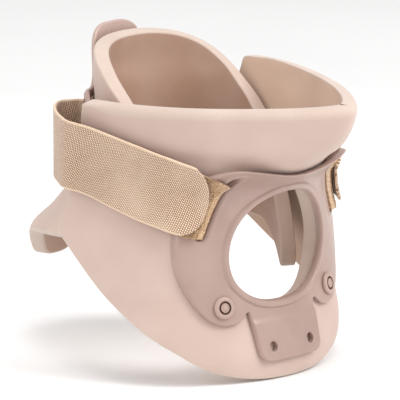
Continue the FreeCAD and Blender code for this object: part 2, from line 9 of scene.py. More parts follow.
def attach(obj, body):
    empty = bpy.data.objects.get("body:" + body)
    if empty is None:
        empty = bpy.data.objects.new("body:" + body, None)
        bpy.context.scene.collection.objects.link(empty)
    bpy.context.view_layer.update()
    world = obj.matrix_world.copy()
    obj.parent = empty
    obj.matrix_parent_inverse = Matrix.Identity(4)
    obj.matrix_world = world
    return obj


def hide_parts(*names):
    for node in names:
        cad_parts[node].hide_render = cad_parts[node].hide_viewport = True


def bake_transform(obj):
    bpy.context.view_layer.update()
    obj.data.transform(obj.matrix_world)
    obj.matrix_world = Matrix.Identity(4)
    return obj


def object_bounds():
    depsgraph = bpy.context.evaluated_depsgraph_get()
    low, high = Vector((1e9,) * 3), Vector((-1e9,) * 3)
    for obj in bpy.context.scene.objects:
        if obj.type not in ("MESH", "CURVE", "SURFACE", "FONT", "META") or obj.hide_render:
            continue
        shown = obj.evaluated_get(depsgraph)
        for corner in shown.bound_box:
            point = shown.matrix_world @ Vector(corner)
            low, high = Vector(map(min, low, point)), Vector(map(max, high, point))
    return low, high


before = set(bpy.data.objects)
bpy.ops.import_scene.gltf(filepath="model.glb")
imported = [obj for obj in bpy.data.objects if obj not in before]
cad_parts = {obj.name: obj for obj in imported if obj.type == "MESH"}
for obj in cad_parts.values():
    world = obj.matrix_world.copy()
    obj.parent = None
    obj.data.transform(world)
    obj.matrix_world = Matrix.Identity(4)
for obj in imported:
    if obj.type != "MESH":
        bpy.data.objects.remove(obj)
cad_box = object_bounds()

MM = 0.001
chance = np.random.default_rng(7)

# -------- shapes that follow the CAD, in millimetres
FOAM = 9.5
PLATE = 3.0
FRONT_GAP = 0.25
REAR_GAP = 2.8
# Each plate's upper lip leans out by a flare, reached a rise above the height where the lean starts.
FRONT_FLARE = 8.0
FRONT_LEAN = (120, 12)
REAR_FLARE = 3.0
REAR_LEAN = (176, 29)
YAW = math.radians(4.0)

FRONT_Z = [-8, 0, 12, 25, 45, 65, 85, 105, 120, 130, 138, 147, 160, 170, 180]
FRONT_DEPTH = [84, 84, 83.5, 80, 73.5, 69.5, 70, 73, 79, 90, 102, 117, 128, 132.5, 134]
FRONT_WIDTH = [88, 90, 93, 94, 91, 87, 83, 77, 73, 71, 71, 73, 75, 77, 78]
FRONT_POWER = [1.9, 2.0, 2.2, 2.4, 2.6, 2.8, 2.8, 2.5, 2.2, 2.0, 1.78, 1.62, 1.5, 1.43, 1.4]
FRONT_RIM = [(-145, 175.8), (-100, 175.8), (-50, 175), (-11, 174.4), (13, 173.6), (60, 171)]
RIM_SLOPE = 0.06
FRONT_BOTTOM = [(-95, 0), (-83, 1.5), (-72.6, 7), (-55.5, 23), (-41, 33.5), (-24, 45), (1, 60.6), (38, 88)]
REAR_Z = [36, 50, 72, 90, 109, 116, 123, 135, 150, 165, 181, 212]
REAR_DEPTH = [118, 120, 117, 98.5, 80, 72, 67, 63, 60, 59, 60, 57]
REAR_WIDTH = [72, 72, 70, 66, 61, 60, 60, 59.6, 59.6, 60, 61, 61]
REAR_FRONT_DEPTH = 59.0
REAR_POWER = 2.1
REAR_TOP = [(-41, 62), (-36.5, 95), (-28, 124), (-15, 146), (7, 168), (33, 189), (50, 197), (62, 200)]
REAR_TOP += [(80, 200)]
REAR_BOTTOM = [(-41, 62), (-35, 52), (-24, 66), (-8, 82), (20, 84), (58, 79), (95, 74.5), (108, 68.5)]
REAR_BOTTOM += [(115, 60), (120, 50), (132, 46)]
THROAT = [(0, 116.5), (20, 112.5), (34.5, 101), (41.5, 83.5), (38, 66), (23.5, 52.8), (0, 48.5)]
THROAT_CENTRE = 82.0
PLATE_EDGE = [(0, 129), (22, 131.8), (40, 135.4), (51.5, 135.2), (58.5, 127.5), (64.5, 111), (70, 93)]
PLATE_EDGE += [(71.5, 79), (69.5, 65), (64.5, 52), (58.5, 43.5), (52, 39), (44, 38), (36, 39.5), (31, 44)]
REAR_PLATE_EDGE = [(0, 205), (13, 204), (19.5, 200), (22.5, 190), (22.5, 176), (26, 169), (44.5, 167.5)]
REAR_PLATE_EDGE += [(48.2, 162.5), (48.2, 120.5), (44.5, 114), (36, 112), (29.5, 108), (25, 103), (16, 101)]
# Lowest point of the rear plate's outline, 5 mm below the edge of the CAD plate.
REAR_PLATE_EDGE += [(0, 96)]
SLOT_TOP = (44.8, 128.3)
SLOT_LOW = (59.0, 94.0)
SLOT_RADIUS = 2.5
REAR_SLOT_X = 41.5
REAR_SLOT_REACH = 21
TAB_HOLES = (16.5, 22.0, 3.0)
FRONT_RIVETS = (46.4, 48.5)
REAR_RIVETS = (18.0, 112.0)
HEAD_SEAT = 0.3
WASHER_DROP = 1.2
STRAP_WIDTH = 43.0
STRAP_RUN = [(-68, 115.4, 9.4), (-60, 117.1, 9.2), (-53, 119, 8.8), (-46, 121, 7.9), (-34, 124, 6.9)]
STRAP_RUN += [(-20, 127.3, 5.8), (-4, 131.3, 6.0), (14, 135.2, 7.6)]
RIGHT_BACK = [(82.5, 27.5, 137), (79, 38, 138.2), (73.5, 46.6, 139.3), (67.2, 53, 140.3), (60.8, 57, 141.1)]
RIGHT_BACK += [(55, 57.6, 141.4), (50.9, 54.6, 141.5)]
LEFT_BACK = [(82.5, 28, 137), (79, 39.5, 138.2), (73, 49.5, 139.3), (65, 58, 140.3), (57, 63.4, 141.1)]
LEFT_BACK += [(49.5, 65.2, 141.4), (45, 63.9, 141.5), (42.8, 61.1, 141.5)]
BAND_UNDER = [(0, 1.4), (12, 1.4), (24, 1.4), (32, 1.4), (38.0, 1.5), (40.7, 3.0), (41.9, 5.6), (42.7, 8.2)]
BAND_Z = 141.5
BAND_SEAM = 32


def profile(pairs):
    """Smooth function through (level, value) pairs that never overshoots them."""
    x, y = np.array(sorted(pairs), float).T
    h = np.diff(x)
    slope = np.diff(y) / h
    tangent = np.zeros(len(x))
    tangent[0], tangent[-1] = slope[0], slope[-1]
    for i in range(1, len(h)):
        if slope[i - 1] * slope[i] > 0:
            near = 2 * h[i] + h[i - 1]
            far = h[i] + 2 * h[i - 1]
            tangent[i] = (near + far) / (near / slope[i - 1] + far / slope[i])

    def value(at):
        at = np.clip(np.asarray(at, float), x[0], x[-1])
        i = np.clip(np.searchsorted(x, at, side="right") - 1, 0, len(h) - 1)
        t = (at - x[i]) / h[i]
        rise = y[i + 1] - y[i]
        start, end = tangent[i] * h[i], tangent[i + 1] * h[i]
        return y[i] + start * t + (3 * rise - 2 * start - end) * t**2 + (start + end - 2 * rise) * t**3

    return value


front_depth = profile(zip(FRONT_Z, FRONT_DEPTH))
front_width = profile(zip(FRONT_Z, FRONT_WIDTH))
front_power = profile(zip(FRONT_Z, FRONT_POWER))
rear_depth = profile(zip(REAR_Z, REAR_DEPTH))
rear_width = profile(zip(REAR_Z, REAR_WIDTH))
front_rim = profile(FRONT_RIM)
front_bottom = profile(FRONT_BOTTOM)
rear_top = profile(REAR_TOP)
rear_bottom = profile(REAR_BOTTOM)


def slanted(values, z, offset):
    """Level offset that leaves the stated distance square to a sloping wall."""
    return offset * np.hypot(1, (values(z + 1) - values(z - 1)) / 2)


def front_sizes(z, offset, flare=0.0):
    """Depth, width and power of the front half's level section, out by an offset and a flare of the lip."""
    start, rise = FRONT_LEAN
    lean = flare * (np.clip(z - start, 0, None) / rise) ** 2
    depth = front_depth(z) + slanted(front_depth, z, offset) + 0.15 * lean
    width = front_width(z) + slanted(front_width, z, offset) + lean
    return depth, width, front_power(z)


# -------- curves and outlines
def step_up(value, low, high):
    """Smooth step from 0 at low to 1 at high."""
    t = np.clip((value - low) / (high - low), 0, 1)
    return t * t * (3 - 2 * t)


def spline(points, step, closed=False):
    """Evenly spaced points on a smooth curve through the given points."""
    p = np.array(points, float)
    if closed:
        p = np.vstack([p[-3:], p, p[:4]])
    chord = lengths(p)
    n = len(p)
    h = np.diff(chord)
    system = np.eye(n)
    right = np.zeros_like(p)
    for i in range(1, n - 1):
        system[i, i - 1 : i + 2] = h[i - 1], 2 * (h[i - 1] + h[i]), h[i]
        right[i] = 6 * ((p[i + 1] - p[i]) / h[i] - (p[i] - p[i - 1]) / h[i - 1])
    bend = np.linalg.solve(system, right)
    low, high = (chord[3], chord[n - 4]) if closed else (chord[0], chord[-1])
    at = np.linspace(low, high, max(8, int((high - low) / 0.25)))
    i = np.clip(np.searchsorted(chord, at, side="right") - 1, 0, n - 2)
    a = ((chord[i + 1] - at) / h[i])[:, None]
    b = 1 - a
    square = (h[i] ** 2 / 6)[:, None]
    fine = a * p[i] + b * p[i + 1] + ((a**3 - a) * bend[i] + (b**3 - b) * bend[i + 1]) * square
    return respace(fine[:-1], step, True) if closed else respace(fine, step, False)


def lengths(points):
    """Distance along a line at each of its points."""
    return np.concatenate([[0], np.cumsum(np.linalg.norm(np.diff(points, axis=0), axis=1))])


def points_at(distances, run, points):
    """Points at given distances along a line whose own points lie at the distances in run."""
    return np.stack([np.interp(distances, run, points[:, k]) for k in range(points.shape[1])], axis=-1)


def respace(points, step, closed=True):
    """The same line with evenly spaced points."""
    p = np.vstack([points, points[:1]]) if closed else np.asarray(points, float)
    run = lengths(p)
    count = max(6, int(round(run[-1] / step)))
    at = np.linspace(0, run[-1], count + 1)
    return points_at(at[:-1] if closed else at, run, p)


def signed_area(loop):
    """Area inside a loop, positive when the loop runs anticlockwise."""
    x, y = loop.T
    return 0.5 * np.sum(x * np.roll(y, -1) - y * np.roll(x, -1))


def facing(loop, hole):
    """Loop with the material on its left."""
    return loop[::-1] if (signed_area(loop) < 0) != hole else loop


def soften(loop, step, reach):
    """Closed outline with its corners rounded over a distance."""
    fine = respace(loop, step / 2)
    half = max(1, int(reach / step))
    weights = np.hanning(2 * half + 3)[1:-1]
    weights /= weights.sum()
    total = sum(w * np.roll(fine, k - half, axis=0) for k, w in enumerate(weights))
    return respace(total, step)


def sideways(loop):
    """Unit normals of a loop that point to its left."""
    along = np.roll(loop, -1, axis=0) - np.roll(loop, 1, axis=0)
    along /= np.linalg.norm(along, axis=1)[:, None]
    return np.stack([-along[:, 1], along[:, 0]], axis=1)


def edge_distance(points, loop):
    """Distance of each point from a closed loop."""
    a = loop
    d = np.roll(loop, -1, axis=0) - a
    best = np.full(len(points), 1e9)
    for start in range(0, len(points), 4000):
        q = points[start : start + 4000, None, :] - a[None]
        t = np.clip((q * d).sum(2) / (d * d).sum(1), 0, 1)
        best[start : start + 4000] = np.sqrt((((q - t[..., None] * d) ** 2).sum(2)).min(1))
    return best


def inside(points, loop):
    """Whether each point lies inside a closed loop."""
    x, y = points[:, 0], points[:, 1]
    result = np.zeros(len(points), bool)
    for (x1, y1), (x2, y2) in zip(loop, np.roll(loop, -1, axis=0)):
        if y1 == y2:
            continue
        crossing = (y1 > y) != (y2 > y)
        result ^= crossing & (x < x1 + (y - y1) * (x2 - x1) / (y2 - y1))
    return result


def throat_loop(grow, step):
    """Throat opening's outline, pushed outwards by a distance."""
    ring = THROAT + [(-x, z) for x, z in THROAT[-2:0:-1]]
    points = []
    for x, z in ring:
        reach = math.hypot(x, z - THROAT_CENTRE)
        scale = (reach + grow) / reach
        points.append((x * scale, THROAT_CENTRE + (z - THROAT_CENTRE) * scale))
    return spline(points, step, closed=True)


def stadium(first, last, radius, step):
    """Slot outline with round ends between two points."""
    a, b = np.array(first, float), np.array(last, float)
    along = (b - a) / np.linalg.norm(b - a)
    across = np.array([-along[1], along[0]])
    turns = np.linspace(-math.pi / 2, math.pi / 2, 12)
    low = [b + radius * (math.cos(t) * along + math.sin(t) * across) for t in turns]
    high = [a - radius * (math.cos(t) * along + math.sin(t) * across) for t in turns]
    return respace(np.array(low + high), step)


def circle(x, z, radius, count):
    """Evenly spaced points on a circle."""
    turns = np.linspace(0, 2 * math.pi, count, endpoint=False)
    return np.stack([x + radius * np.cos(turns), z + radius * np.sin(turns)], axis=1)


# -------- meshes
def make_object(name, vertices, faces, kinds=None, materials=()):
    """Mesh object from vertices in millimetres, with a material number for each face."""
    mesh = bpy.data.meshes.new(name)
    mesh.from_pydata((np.asarray(vertices) * MM).tolist(), [], [list(map(int, f)) for f in faces])
    for item in materials:
        mesh.materials.append(item)
    if kinds is not None:
        mesh.polygons.foreach_set("material_index", np.asarray(kinds, np.int32))
    shape = bmesh.new()
    shape.from_mesh(mesh)
    bmesh.ops.recalc_face_normals(shape, faces=shape.faces)
    shape.to_mesh(mesh)
    shape.free()
    mesh.polygons.foreach_set("use_smooth", np.ones(len(mesh.polygons), bool))
    mesh.set_sharp_from_angle(angle=math.radians(50))
    piece = bpy.data.objects.new(name, mesh)
    bpy.context.scene.collection.objects.link(piece)
    return piece


def store(piece, name, values):
    """Named number on each vertex, for a material to read."""
    layer = piece.data.attributes.new(name, "FLOAT", "POINT")
    layer.data.foreach_set("value", np.asarray(values, np.float32))


def within(points, loops):
    """Whether each point lies inside the first loop and outside the others."""
    result = inside(points, loops[0])
    for loop in loops[1:]:
        result &= ~inside(points, loop)
    return result


def fill_region(loops, lines, pitch):
    """Points and triangles that cover the region between loops; the loops' points come first."""
    points = [p for loop in loops for p in loop]
    edges = []
    start = 0
    for loop in list(loops) + list(lines):
        n = len(loop)
        edges += [(start + k, start + (k + 1) % n) for k in range(n)]
        start += n
    for line in lines:
        points += list(line)
    everything = np.array(points)
    low, high = everything.min(0), everything.max(0)
    rows = np.arange(low[1], high[1], pitch * 0.866)
    grid = []
    for k, z in enumerate(rows):
        x = np.arange(low[0] + (k % 2) * pitch / 2, high[0], pitch)
        grid.append(np.stack([x, np.full(len(x), z)], axis=1))
    grid = np.vstack(grid)
    grid = grid[within(grid, loops)]
    for loop in list(loops) + list(lines):
        grid = grid[edge_distance(grid, loop) > 0.6 * pitch]
    points = np.vstack([everything, grid])
    found = delaunay_2d_cdt([Vector(p) for p in points], edges, [], 0, 1e-6)
    origin = [o[0] if o else -1 for o in found[3]]
    triangles = np.array([[origin[i] for i in f] for f in found[2]])
    triangles = triangles[(triangles >= 0).all(1)]
    return points, triangles[within(points[triangles].mean(1), loops)]


def sheet_solid(name, loops, place, thickness, outer_round, inner_round, pitch, materials, lines=(), steps=5):
    """Closed sheet over a flat region with rounded edges; place puts a flat point and a level in space.

    outer_round and inner_round give the rounding for a loop's points. Faces: 0 outer, 1 edge, 2 inner.
    """
    normals = [sideways(loop) for loop in loops]
    outer = [np.broadcast_to(outer_round(loop), (len(loop),)) for loop in loops]
    inner = [np.broadcast_to(inner_round(loop), (len(loop),)) for loop in loops]
    front_loops = [loop + n * r[:, None] for loop, n, r in zip(loops, normals, outer)]
    back_loops = [loop + n * r[:, None] for loop, n, r in zip(loops, normals, inner)]
    front_points, front_faces = fill_region(front_loops, lines, pitch)
    back_points, back_faces = fill_region(back_loops, [], pitch * 1.5)
    vertices = [place(front_points, np.full(len(front_points), thickness))]
    vertices.append(place(back_points, np.zeros(len(back_points))))
    shift = len(front_points)
    faces = [tuple(f) for f in front_faces] + [tuple(shift + i for i in f[::-1]) for f in back_faces]
    kinds = [0] * len(front_faces) + [2] * len(back_faces)
    total = shift + len(back_points)
    first = 0
    for loop, normal, r_out, r_in in zip(loops, normals, outer, inner):
        n = len(loop)
        rows = [np.arange(first, first + n)]
        levels = []
        for k in range(1, steps + 1):
            turn = math.pi / 2 * k / steps
            levels.append((r_out * (1 - math.sin(turn)), thickness - r_out * (1 - math.cos(turn))))
        for k in range(steps):
            turn = math.pi / 2 * k / steps
            levels.append((r_in * (1 - math.cos(turn)), r_in * (1 - math.sin(turn))))
        for away, level in levels:
            vertices.append(place(loop + normal * away[:, None], level))
            rows.append(np.arange(total, total + n))
            total += n
        rows.append(shift + np.arange(first, first + n))
        for upper, lower in zip(rows[:-1], rows[1:]):
            for k in range(n):
                ahead = (k + 1) % n
                faces.append((upper[k], lower[k], lower[ahead], upper[ahead]))
                kinds.append(1)
        first += n
    return make_object(name, np.vstack(vertices), faces, kinds, materials)


def along_normal(surface, points, depth):
    """Points of a surface moved inwards by a depth."""
    a, z = points.T
    step = 0.6
    tangent = surface(a + step, z) - surface(a - step, z)
    rise = surface(a, z + step) - surface(a, z - step)
    out = np.cross(tangent, rise)
    out /= np.linalg.norm(out, axis=1)[:, None]
    spot = surface(a, z)
    out *= np.sign((out[:, :2] * spot[:, :2]).sum(1))[:, None]
    return spot - out * np.asarray(depth)[:, None]


def yawed(points):
    """Points of the rear half turned from its own frame into the collar's."""
    x, y, z = points.T
    return np.stack([x * math.cos(YAW) - y * math.sin(YAW), x * math.sin(YAW) + y * math.cos(YAW), z], axis=1)


# -------- materials
def tone(red, green, blue):
    """Linear colour from everyday 0-255 values."""
    def linear(v):
        v /= 255
        return v / 12.92 if v <= 0.04045 else ((v + 0.055) / 1.055) ** 2.4
    return (linear(red), linear(green), linear(blue), 1.0)


class Finish:
    """A material and short calls that add its nodes."""

    def __init__(self, name, rough, sheen=0.0, coat=0.0, specular=0.5):
        self.item = bpy.data.materials.new(name)
        self.item.use_nodes = True
        self.tree = self.item.node_tree
        self.shader = self.tree.nodes["Principled BSDF"]
        self.shader.inputs["Roughness"].default_value = rough
        self.shader.inputs["Specular IOR Level"].default_value = specular
        if sheen:
            self.shader.inputs["Sheen Weight"].default_value = sheen
            self.shader.inputs["Sheen Roughness"].default_value = 0.5
        if coat:
            self.shader.inputs["Coat Weight"].default_value = coat
            self.shader.inputs["Coat Roughness"].default_value = 0.3
        self.place = self.node("TexCoord").outputs["Object"]

    def put(self, socket, value):
        """Link a socket or set its value."""
        if isinstance(value, bpy.types.NodeSocket):
            self.tree.links.new(value, socket)
        elif value is not None:
            socket.default_value = value

    def node(self, kind, **settings):
        """New node with some inputs set; an underscore stands for a space in an input's name."""
        node = self.tree.nodes.new("ShaderNode" + kind)
        for name, value in settings.items():
            node.inputs[name.replace("_", " ")].default_value = value
        return node

    def noise(self, scale, detail=3.0, rough=0.55, where=None):
        """Fractal noise over the object, or over another vector."""
        node = self.node("TexNoise", Scale=scale, Detail=detail, Roughness=rough)
        self.put(node.inputs["Vector"], self.place if where is None else where)
        return node.outputs["Fac"]

    def ramp(self, value, low, high):
        """0 below low, 1 above high."""
        node = self.node("MapRange", From_Min=low, From_Max=high)
        node.interpolation_type = "SMOOTHSTEP"
        self.put(node.inputs["Value"], value)
        return node.outputs["Result"]

    def sum(self, kind, a, b):
        """Two values joined by a named operation."""
        node = self.node("Math")
        node.operation = kind
        self.put(node.inputs[0], a)
        self.put(node.inputs[1], b)
        return node.outputs[0]

    def mix(self, amount, first, second):
        """Colour between two, at an amount from 0 to 1."""
        node = self.node("Mix")
        node.data_type = "RGBA"
        self.put(node.inputs[0], amount)
        self.put(node.inputs[6], first)
        self.put(node.inputs[7], second)
        return node.outputs[2]

    def attribute(self, name):
        """Number stored on the mesh under a name."""
        node = self.node("Attribute")
        node.attribute_name = name
        return node.outputs["Fac"]

    def vector(self, x, y, z=0.0):
        """Vector from three numbers or sockets."""
        node = self.node("CombineXYZ")
        for socket, value in zip(node.inputs, (x, y, z)):
            self.put(socket, value)
        return node.outputs[0]

    def color(self, value):
        """Set or link the shader's base colour."""
        self.put(self.shader.inputs["Base Color"], value)

    def bump(self, height, strength, distance):
        """Relief over any relief that is there already."""
        node = self.node("Bump", Strength=strength, Distance=distance)
        self.put(node.inputs["Height"], height)
        self.put(node.inputs["Normal"], getattr(self, "last_bump", None))
        self.last_bump = node.outputs["Normal"]
        self.put(self.shader.inputs["Normal"], self.last_bump)


def foam_finish(name, light, dark, cut=False):
    """Closed-cell foam: a matt skin with fine pores, or the more open face of a cut."""
    f = Finish(name, 0.74 if cut else 0.62, sheen=0.25 if cut else 0.12, specular=0.35)
    patches = f.ramp(f.noise(22, 2), 0.35, 0.7)
    grain = f.ramp(f.noise(900, 2), 0.38, 0.66)
    base = f.mix(patches, light, dark)
    pore = tuple(c * (0.86 if cut else 0.94) for c in light[:3]) + (1.0,)
    f.color(f.mix(f.sum("MULTIPLY", grain, 0.5 if cut else 0.28), base, pore))
    f.bump(f.noise(38, 2), 0.12, 0.0012)
    f.bump(f.noise(1300, 3), 0.35 if cut else 0.16, 0.00025)
    if cut:
        f.bump(f.noise(420, 2, where=f.vector(0.0, 0.0, f.place)), 0.3, 0.0002)
    return f.item


def plastic_finish(name, light, dark, rough, coat=0.0):
    """Moulded plastic with a fine satin skin and faint flow marks."""
    f = Finish(name, rough, coat=coat, specular=0.5)
    f.color(f.mix(f.ramp(f.noise(30, 3), 0.35, 0.7), light, dark))
    marks = f.ramp(f.noise(160, 2), 0.3, 0.8)
    f.put(f.shader.inputs["Roughness"], f.sum("ADD", f.sum("MULTIPLY", marks, 0.1), rough - 0.05))
    f.bump(f.noise(24, 1), 0.06, 0.001)
    f.bump(f.noise(420, 2), 0.035, 0.00015)
    return f.item


def knit_finish(name, light, mid, dark, edge):
    """Knitted elastic webbing: rows of small stitches, with a plain woven edge on each side."""
    f = Finish(name, 0.8, sheen=0.35, specular=0.2)
    u, v = f.attribute("run_mm"), f.attribute("across_mm")
    wander = f.sum("MULTIPLY", f.sum("SUBTRACT", f.noise(60, 2), 0.5), 1.1)
    slant = f.sum("ADD", f.sum("ADD", u, f.sum("MULTIPLY", v, 0.18)), wander)
    brick = f.node("TexBrick", Scale=1, Mortar_Size=0.3, Mortar_Smooth=0.7, Brick_Width=1.25, Row_Height=1.15)
    for socket, shade in (("Color1", light), ("Color2", mid), ("Mortar", dark)):
        brick.inputs[socket].default_value = shade
    f.put(brick.inputs["Vector"], f.vector(v, slant))
    lines = f.node("TexWave", Scale=0.42, Distortion=0.4)
    lines.bands_direction = "Y"
    f.put(lines.inputs["Vector"], f.vector(u, v))
    selvedge = f.ramp(f.sum("ABSOLUTE", v, None), 20.3, 20.7)
    woven = f.mix(f.sum("MULTIPLY", lines.outputs["Fac"], 0.5), edge, mid)
    body = f.mix(selvedge, brick.outputs["Color"], woven)
    worn = tuple(c * 0.86 for c in light[:3]) + (1.0,)
    f.color(f.mix(f.sum("MULTIPLY", f.ramp(f.noise(26, 3), 0.4, 0.75), 0.35), body, worn))
    open_rows = f.sum("SUBTRACT", 1.0, brick.outputs["Fac"])
    f.bump(f.mix(selvedge, open_rows, lines.outputs["Fac"]), 0.8, 0.00035)
    f.bump(f.noise(1800, 3), 0.4, 0.0002)
    return f.item


def pile_finish(name, light, dark):
    """Brushed loops of nylon: fine noise mixes light and dark fibres, partly their own uneven tone and partly
    painted light on the tips and painted shade between them.
    """
    f = Finish(name, 0.9, sheen=0.5, specular=0.15)
    # Light fibres stand for lit loop tips and dark ones for shade deep in the pile: painted light and shade
    # over the nylon's own uneven tone.
    fibre_tone_and_painted_light = f.ramp(f.noise(1250, 3), 0.36, 0.62)
    broad = f.ramp(f.noise(160, 2), 0.3, 0.7)
    f.color(f.mix(fibre_tone_and_painted_light, dark, f.mix(f.sum("MULTIPLY", broad, 0.35), light, dark)))
    f.bump(f.noise(2100, 4), 0.7, 0.0004)
    return f.item


foam_skin = foam_finish("foam_skin", tone(199, 176, 165), tone(192, 168, 157))
foam_cut = foam_finish("foam_cut", tone(202, 183, 170), tone(194, 173, 160), cut=True)
# Inner faces are the same foam as the skin, recoloured: the front's warmer, more saturated tone is painted
# warm bounce light inside the shell.
foam_inside_painted_bounce = foam_finish("foam_inside_painted_bounce", tone(208, 181, 161), tone(198, 170, 150))
# The rear shell's inner face is the same foam in a darker brown: painted shade inside the back of the collar,
# with warm bounce light in its tint.
rear_inside_painted_shade = foam_finish("rear_foam_inside_painted_shade", tone(176, 147, 130), tone(160, 128, 108))
plate_skin = plastic_finish("plate_skin", tone(169, 143, 133), tone(161, 135, 125), 0.38, coat=0.2)
rear_plate_skin = plastic_finish("rear_plate_skin", tone(182, 157, 147), tone(175, 149, 139), 0.3, coat=0.3)
rivet_skin = plastic_finish("rivet_skin", tone(177, 151, 141), tone(170, 144, 133), 0.42)
# Darker brown faces in the rivet heads' groove: painted shade in the recess.
groove_painted_shade = plastic_finish("groove_shade", tone(112, 82, 70), tone(98, 70, 60), 0.6)
knit_tones = [tone(240, 214, 189), tone(231, 203, 175), tone(128, 92, 68), tone(226, 197, 168)]
knit = knit_finish("knit_elastic", *knit_tones)
pile = pile_finish("loop_pile", tone(222, 191, 155), tone(160, 124, 90))
hooks = pile_finish("hook_tape", tone(172, 144, 116), tone(106, 80, 58))

# -------- foam shells
# Distance round each shell for one radian about the neck axis.
FRONT_TURN = 96.0
REAR_TURN = 64.0
FRONT_QUARTER = FRONT_TURN * math.pi / 2
# Straight wings of the front half: their length, and where and how steeply their tops fall.
WING_LENGTH = 38
WING_FALL_START = 22
WING_FALL_TOP = 168
WING_FALL = 5
# Turn round the rear shell, in degrees, that is well past its front edges.
REAR_REACH = 136


def front_surface(a, z):
    """Front half's outer wall; a is the distance round it from the mid-line, z the height."""
    depth, width, power = front_sizes(z, 0.0)
    turn = np.clip(np.abs(a) / FRONT_TURN, 0, math.pi / 2)
    sine, cosine = np.sin(turn), np.clip(np.cos(turn), 0, None)
    reach = ((sine / width) ** power + (cosine / depth) ** power) ** (-1 / power)
    x = np.sign(a) * reach * sine
    y = -reach * cosine + np.clip(np.abs(a) - FRONT_QUARTER, 0, None)
    return np.stack([x, y, z], axis=1)


def rear_surface(a, z):
    """Rear half's outer wall in its own frame; a is the distance round it from the middle of the back."""
    turn = np.abs(a) / REAR_TURN
    sine, cosine = np.sin(turn), np.cos(turn)
    depth = np.where(cosine > 0, rear_depth(z), REAR_FRONT_DEPTH)
    side_part = np.abs(sine / rear_width(z)) ** REAR_POWER
    reach = (side_part + np.abs(cosine / depth) ** REAR_POWER) ** (-1 / REAR_POWER)
    return np.stack([np.sign(a) * reach * sine, reach * cosine, z], axis=1)


def settle(surface, a, z, edge, slope=0.0):
    """Heights at which a side-view edge, higher on the left by a slope, crosses each column of a surface."""
    z = np.full(len(a), float(z))
    for _ in range(14):
        spot = surface(a, z)
        z = edge(spot[:, 1]) + slope * spot[:, 0]
    return z


def front_outline(step):
    """Front shell's outline on the wall's own coordinates."""
    reach = FRONT_QUARTER + WING_LENGTH
    a = np.arange(-reach, reach + 0.1, 1.0)
    low = settle(front_surface, a, 60, front_bottom)
    high = settle(front_surface, a, 172, front_rim, RIM_SLOPE)
    behind = np.abs(a) - FRONT_QUARTER - WING_FALL_START
    high = np.minimum(high, WING_FALL_TOP - behind * WING_FALL)
    high = np.maximum(high, low)
    lower = np.stack([a, low], axis=1)
    upper = np.stack([a, high], axis=1)[::-1]
    return soften(facing(np.vstack([lower, upper[1:-1]]), False), step, 8.0)


def front_throat(grow, step):
    """Throat opening on the wall's own coordinates."""
    x, z = throat_loop(grow, step).T
    depth, width, power = front_sizes(z, 0.0)
    y = depth * (1 - (np.abs(x) / width) ** power) ** (1 / power)
    return facing(np.stack([np.arctan2(x, y) * FRONT_TURN, z], axis=1), True)


def rear_outline(step):
    """Rear shell's outline on the wall's own coordinates, cut off where its edges meet."""
    a = np.radians(np.arange(0, REAR_REACH, 0.8)) * REAR_TURN
    low = settle(rear_surface, a, 70, rear_bottom)
    high = settle(rear_surface, a, 190, rear_top)
    keep = np.cumsum(high - low < 2) == 0
    a, low, high = a[keep], low[keep], high[keep]
    half_low = np.stack([a, low], axis=1)
    half_high = np.stack([a, high], axis=1)
    flip = np.array([-1, 1])
    loop = np.vstack([half_low, half_high[::-1], (half_high * flip)[1:], (half_low * flip)[:0:-1]])
    return soften(facing(loop, False), step, 3.5)


def front_rounding(loop):
    """A full round along the chin rim, small elsewhere."""
    rim = step_up(loop[:, 1], 158, 166)
    wing_end = step_up(np.abs(loop[:, 0]), FRONT_QUARTER - 6, FRONT_QUARTER + 14)
    return 0.9 + (4.6 - 3.6 * wing_end) * rim


def foam_shell(name, loops, surface, outer_round, inner_round, inner_skin_painted_light, turn=None):
    """Foam sheet behind a wall, with its skin, its cut edge and its inner face, whose finish carries painted
    shade and bounce light.
    """
    def place(points, level):
        inward = along_normal(surface, points, FOAM - np.asarray(level))
        return turn(inward) if turn else inward

    finishes = [foam_skin, foam_cut, inner_skin_painted_light]
    return sheet_solid(name, loops, place, FOAM, outer_round, inner_round, 2.6, finishes)


front_foam = foam_shell(
    "front_foam",
    [front_outline(2.2), front_throat(1.5, 1.6)],
    front_surface,
    front_rounding,
    lambda loop: 0.7,
    foam_inside_painted_bounce,
)
rear_foam = foam_shell(
    "rear_foam", [rear_outline(2.0)], rear_surface, lambda loop: 1.2, lambda loop: 1.4, rear_inside_painted_shade, yawed
)

# -------- support plates
def front_wall(x, z, offset, flare=0.0):
    """Y of the front half's forward wall at X, Z."""
    depth, width, power = front_sizes(z, offset, flare)
    return -depth * np.clip(1 - (np.abs(x) / width) ** power, 0, None) ** (1 / power)


def rear_wall(x, z, offset, flare=0.0):
    """Y of the rear half's back wall at X, Z, in its own frame."""
    start, rise = REAR_LEAN
    lean = flare * (np.clip(z - start, 0, None) / rise) ** 2
    back = rear_depth(z) + slanted(rear_depth, z, offset) + lean
    width = rear_width(z) + offset
    return back * np.clip(1 - (np.abs(x) / width) ** REAR_POWER, 0, None) ** (1 / REAR_POWER)


def plate_outline(step):
    """Front plate's outline: a crown round the throat and a tab with round corners."""
    mirrored = [(-x, z) for x, z in PLATE_EDGE[:0:-1]]
    crown = spline(mirrored + PLATE_EDGE, 0.8)
    radius, low, side, narrow = 7.0, 13.0, 29.0, 27.0
    turns = np.linspace(0, math.pi / 2, 10)
    corner = [(narrow - radius + radius * math.cos(t), low + radius - radius * math.sin(t)) for t in turns]
    tab = [(side, 44.0)] + corner
    tab += [(-x, z) for x, z in tab[::-1]]
    loop = np.vstack([crown, np.array(tab)])
    return soften(facing(loop, False), step, 1.6)


